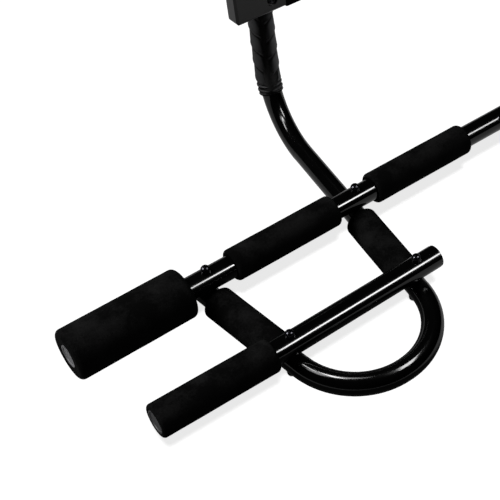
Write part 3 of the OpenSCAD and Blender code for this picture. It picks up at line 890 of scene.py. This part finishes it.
def hook_pad(foam):
    """The foam pad round the hook's middle: soft long edges, uneven faces and a glued seam at the back."""
    points = node_points("hook_pad")
    lean = sizes().lean
    back = np.array((0, math.cos(lean), -math.sin(lean)))
    up = np.array((0, math.sin(lean), math.cos(lean)))
    along_back, along_up = points @ back, points @ up
    middle = back * (along_back.max() + along_back.min()) / 2 + up * (along_up.max() + along_up.min()) / 2
    half = np.array((np.ptp(along_back), np.ptp(along_up))) / 2
    x0, x1 = points[:, 0].min(), points[:, 0].max()
    edge, end_rim, unevenness, wall = 3.2 * MM, 1.3 * MM, 0.12 * MM, 3.0 * MM
    seam_place, seam_width, seam_depth = -0.4 * half[1], 0.8 * MM, 0.7 * MM
    edge_steps, side_steps, length_steps = 8, 12, 70

    corners = ((1, 1), (-1, 1), (-1, -1), (1, -1))
    arcs = [rounded(np.array(c) * (half - edge), edge, 90 * k, edge_steps) for k, c in enumerate(corners)]
    outline = []
    for arc, next_arc in zip(arcs, arcs[1:] + arcs[:1]):
        here, there = np.array(arc[-1]), np.array(next_arc[0])
        outline += arc + [here + (there - here) * t for t in np.linspace(0, 1, side_steps)[1:-1]]
    outline = np.array(outline)
    normal = outline / np.linalg.norm(outline, axis=1)[:, None]
    round_angle = np.arctan2(outline[:, 1], outline[:, 0])
    seam = (outline[:, 0] > 0) * hump(outline[:, 1], seam_place, seam_width) * seam_depth

    near_end = np.array((0, 0.25, 0.7, 1.3, 2.2)) * MM
    between = np.linspace(x0 + 6 * MM, x1 - 6 * MM, length_steps)
    rows = []
    for x in np.concatenate([x0 + near_end, between, x1 - near_end[::-1]]):
        from_end = min(1.0, min(x - x0, x1 - x) / end_rim)
        inset = end_rim * (1 - math.sqrt(1 - (1 - from_end) ** 2))
        # Its waves are twice as long as the grips'
        shrink = inset + unevenness * (1 - ripple(round_angle, x / MM / 2, 4.0))
        rows.append((x, outline - normal * shrink[:, None] - seam[:, None] * np.array((1, 0))))
    rows += [(x, outline * (half - wall) / half) for x in (x1, x0)]
    points = [np.array((x, 0, 0)) + middle + cross[:, :1] * back + cross[:, 1:] * up for x, cross in rows]
    piece = closed_piece("hook_pad_foam", np.array(points))
    put_in_place(piece, "hook_pad", foam)


# ---- studio ----


def make_floor():
    """A wide square floor at the height of the lowest tubes."""
    half = 6.0
    corners = [(-half, -half, 0), (half, -half, 0), (half, half, 0), (-half, half, 0)]
    mesh = bpy.data.meshes.new("floor")
    mesh.from_pydata(corners, [], [(0, 1, 2, 3)])
    mesh.materials.append(white_floor())
    floor = new_object("floor", mesh)
    floor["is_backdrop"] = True
    return floor


def make_world(scene):
    """White air behind everything, which gives the object only a little light and no reflections."""
    world = scene.world or bpy.data.worlds.new("studio")
    scene.world = world
    world.use_nodes = True
    tree = world.node_tree
    tree.nodes.clear()
    path = add(tree, "ShaderNodeLightPath")
    white = add(
        tree,
        "ShaderNodeMapRange",
        inputs={"Value": (path, "Is Camera Ray"), "To Min": 0.03, "To Max": 1.0},
    )
    air = add(
        tree,
        "ShaderNodeBackground",
        inputs={"Color": (1, 1, 1, 1), "Strength": (white, "Result")},
    )
    add(tree, "ShaderNodeOutputWorld", inputs={"Surface": (air, "Background")})
    world.cycles_visibility.glossy = False


def light_group(name, pieces, left_out=False):
    """A collection that says which pieces a lamp reaches, or which it leaves out."""
    group = bpy.data.collections.new(name)
    for piece in pieces:
        group.objects.link(piece)
    for entry in group.collection_objects:
        entry.light_linking.link_state = "EXCLUDE" if left_out else "INCLUDE"
    return group


def soft_light(name, place, target, size, power, reaches, only_gloss=True, roll=0):
    """A rectangular lamp aimed at a target, for highlights only or plain light only; roll is in degrees."""
    lamp = bpy.data.lights.new(name, "AREA")
    lamp.shape = "RECTANGLE"
    lamp.size, lamp.size_y = size
    lamp.energy = power
    holder = new_object(name, lamp)
    holder.location = place
    aim = (Vector(target) - Vector(place)).to_track_quat("-Z", "Y")
    holder.rotation_euler = (aim @ Quaternion((0, 0, 1), math.radians(roll))).to_euler()
    holder.visible_glossy = only_gloss
    holder.visible_diffuse = not only_gloss
    holder.light_linking.receiver_collection = reaches


def make_lights(floor):
    """A distant lamp for the floor, plain light for the object, and softboxes and strips for highlights."""
    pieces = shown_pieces()
    left_loop = packed("left_loop_tube")
    sleeves = [piece for piece in pieces if piece.name.endswith("braided_sleeve")]
    if len(sleeves) != len(SIDES):
        raise RuntimeError("make the upright sleeves before the lights")
    high_words = ("hook", "sleeve", "loop_tube", "leg_grip", "roller", "upright_plug")
    high_up = [piece for piece in pieces if any(word in piece.name for word in high_words)]

    sun = bpy.data.lights.new("floor_light", "SUN")
    sun.energy, sun.angle = 3.8, math.radians(8)
    ceiling = new_object("floor_light", sun)
    ceiling.rotation_euler = Vector((0.7, 1.27, -3.6)).to_track_quat("-Z", "Y").to_euler()
    ceiling.visible_glossy = False
    ceiling.light_linking.receiver_collection = light_group("floor_only", [floor])
    # Only what lies low throws a shadow
    ceiling.light_linking.blocker_collection = light_group("no_floor_shadow", high_up, left_out=True)

    not_floor = light_group("not_floor", [floor], left_out=True)
    loop_only = light_group("loop_only", [left_loop])
    not_loop = light_group("not_loop", [left_loop], left_out=True)
    sleeves_only = light_group("sleeves_only", sleeves)

    middle = Vector((-0.25, -0.05, 0.05))
    loop = Vector((-0.4, -0.18, 0.03))
    rear_bend = Vector((-0.21, 0.12, 0.08))
    back = middle + Vector((-0.9, 0.95, 1.6))
    right = middle + 1.7 * Vector((0.42, -0.52, 0.745))
    right_core = middle + 1.69 * Vector((0.35, -0.58, 0.735))
    left = middle + 1.7 * Vector((-0.76, 0.32, 0.56))
    soft_light("back_light", back, middle, (0.9, 0.9), 38, not_floor, only_gloss=False)
    soft_light("right_softbox", right, middle, (1.15, 0.3), 21, not_loop, roll=-25)
    soft_light("right_softbox_core", right_core, middle, (0.5, 0.3), 6, not_loop, roll=-25)
    soft_light("left_softbox", left, middle, (0.5, 0.5), 45, not_loop)
    soft_light("loop_strip_left", (-0.4, -0.06, 0.485), loop, (0.32, 0.09), 0.5, loop_only)
    soft_light("loop_strip_core", (-0.36, -0.06, 0.48), loop, (0.06, 0.09), 0.4, loop_only)
    soft_light("loop_strip_rear", (-0.44, 0.06, 0.485), rear_bend, (0.16, 0.07), 0.5, loop_only)
    soft_light("loop_strip_right", (-0.12, -0.22, 0.485), loop, (0.2, 0.08), 0.9, loop_only)
    beside, sleeve_middle = (1.2, -0.1, 0.45), (-0.2, 0.18, 0.15)
    soft_light("sleeve_light", beside, sleeve_middle, (0.5, 0.5), 24, sleeves_only, only_gloss=False)


def make_camera(scene):
    """A long lens above and in front of the left end, rolled a little, that frames the left half."""
    right = Vector((0.77515, -0.63126, 0.02568))
    up = Vector((0.45918, 0.59084, 0.66337))
    back = Vector((-0.43393, -0.50241, 0.74785))
    place = Vector((-0.7794, -0.6839, 0.9171))
    camera = bpy.data.cameras.new("camera")
    camera.sensor_width = 36
    camera.lens = 79.7
    camera.shift_x, camera.shift_y = -0.252, 0.03
    camera.clip_start, camera.clip_end = 0.05, 50
    holder = new_object("camera", camera)
    holder.matrix_world = Matrix.Translation(place) @ Matrix((right, up, back)).transposed().to_4x4()
    scene.camera = holder


# ---- operators ----


class PULLUPBAR_OT_tubes(bpy.types.Operator):
    """Enamel the bars, the loop tubes and the hook's beam"""

    bl_idname = "pullupbar.tubes"
    bl_label = "Tubes"

    def execute(self, context):
        enamel = black_stove_enamel()
        finish_nodes(enamel, both("long_bar", "short_bar", "loop_tube"))
        finish_nodes(enamel, ["hook_beam", "joint_tube"])
        return {"FINISHED"}


class PULLUPBAR_OT_foam(bpy.types.Operator):
    """Make the rollers and hand grips"""

    bl_idname = "pullupbar.foam"
    bl_label = "Rollers and grips"

    def execute(self, context):
        foam = nitrile_foam()
        rim, roller_rim = sizes().foam_rim, sizes().roller_rim
        kinds = ("outer_grip", "inner_grip", "short_grip", "outer_leg_grip", "inner_leg_grip")
        for k, side in enumerate(SIDES):
            foam_tube(side, "roller", roller_rim, 1.3 + k, foam)
            for i, kind in enumerate(kinds):
                foam_tube(side, kind, rim, 2.7 * i + k, foam)
        return {"FINISHED"}


class PULLUPBAR_OT_sleeves(bpy.types.Operator):
    """Make the braided rubber sleeves of the uprights"""

    bl_idname = "pullupbar.sleeves"
    bl_label = "Upright sleeves"

    def execute(self, context):
        rubber = moulded_rubber()
        for side in SIDES:
            sleeve(side, rubber)
        return {"FINISHED"}


class PULLUPBAR_OT_hook(bpy.types.Operator):
    """Finish the hook's end covers and make its middle pad"""

    bl_idname = "pullupbar.hook"
    bl_label = "Hook"

    def execute(self, context):
        finish_nodes(textured_abs(), both("hook_cover"))
        hook_pad(nitrile_foam())
        return {"FINISHED"}


class PULLUPBAR_OT_plugs(bpy.types.Operator):
    """Finish the plugs and caps in the tubes' ends"""

    bl_idname = "pullupbar.plugs"
    bl_label = "Plugs and caps"

    def execute(self, context):
        f = finishes()
        grey = moulded_polyethylene("grey_polyethylene", f.plug_shade_hex, f.plug_hex, 0.45)
        dark = moulded_polyethylene("dark_polyethylene", f.dark_plug_shade_hex, f.dark_plug_hex, 0.5)
        black = moulded_polyethylene("black_polyethylene", f.cap_shade_hex, f.cap_hex, 0.22)
        finish_nodes(grey, both("long_plug"))
        finish_nodes(dark, both("short_plug", "leg_plug", "upright_plug"))
        finish_nodes(black, both("short_cap"))
        return {"FINISHED"}


class PULLUPBAR_OT_fasteners(bpy.types.Operator):
    """Finish the bolts, washers, domed nuts and joint screws"""

    bl_idname = "pullupbar.fasteners"
    bl_label = "Fasteners"

    def execute(self, context):
        names = [f"{place}_{kind}" for place in ("cross", "hook") for kind in ("bolts", "washers", "nuts")]
        finish_nodes(black_zinc_steel(), names + ["joint_screws"])
        return {"FINISHED"}


class PULLUPBAR_OT_stage(bpy.types.Operator):
    """Make the floor, the lights, the world and the camera; the pieces come first"""

    bl_idname = "pullupbar.stage"
    bl_label = "Floor, lights and camera"

    def execute(self, context):
        scene = context.scene
        scene.view_settings.view_transform = "Standard"
        floor = make_floor()
        make_world(scene)
        make_lights(floor)
        make_camera(scene)
        return {"FINISHED"}


class PULLUPBAR_PT_panel(bpy.types.Panel):
    bl_label = "Pull-up bar"
    bl_idname = "PULLUPBAR_PT_panel"
    bl_space_type = "VIEW_3D"
    bl_region_type = "UI"
    bl_category = "Pull-up bar"

    def draw(self, context):
        for group in (sizes(), finishes()):
            for name in group.bl_rna.properties.keys():
                if name not in ("rna_type", "name"):
                    self.layout.prop(group, name)
        for operator in OPERATORS:
            self.layout.operator(operator.bl_idname)


OPERATORS = (
    PULLUPBAR_OT_tubes,
    PULLUPBAR_OT_foam,
    PULLUPBAR_OT_sleeves,
    PULLUPBAR_OT_hook,
    PULLUPBAR_OT_plugs,
    PULLUPBAR_OT_fasteners,
    PULLUPBAR_OT_stage,
)
CLASSES = (PullupBarSizes, PullupBarFinishes) + OPERATORS + (PULLUPBAR_PT_panel,)


def register():
    for c in CLASSES:
        bpy.utils.register_class(c)
    bpy.types.Scene.pullup_bar_sizes = bpy.props.PointerProperty(type=PullupBarSizes)
    bpy.types.Scene.pullup_bar_finishes = bpy.props.PointerProperty(type=PullupBarFinishes)


def unregister():
    del bpy.types.Scene.pullup_bar_finishes
    del bpy.types.Scene.pullup_bar_sizes
    for c in reversed(CLASSES):
        bpy.utils.unregister_class(c)


def main():
    """Makes everything in order."""
    register()
    for operator in OPERATORS:
        group, name = operator.bl_idname.split(".")
        if getattr(getattr(bpy.ops, group), name)() != {"FINISHED"}:
            raise RuntimeError(f"{operator.bl_label} didn't finish")
    bpy.context.view_layer.update()


if __name__ == "__main__":
    main()
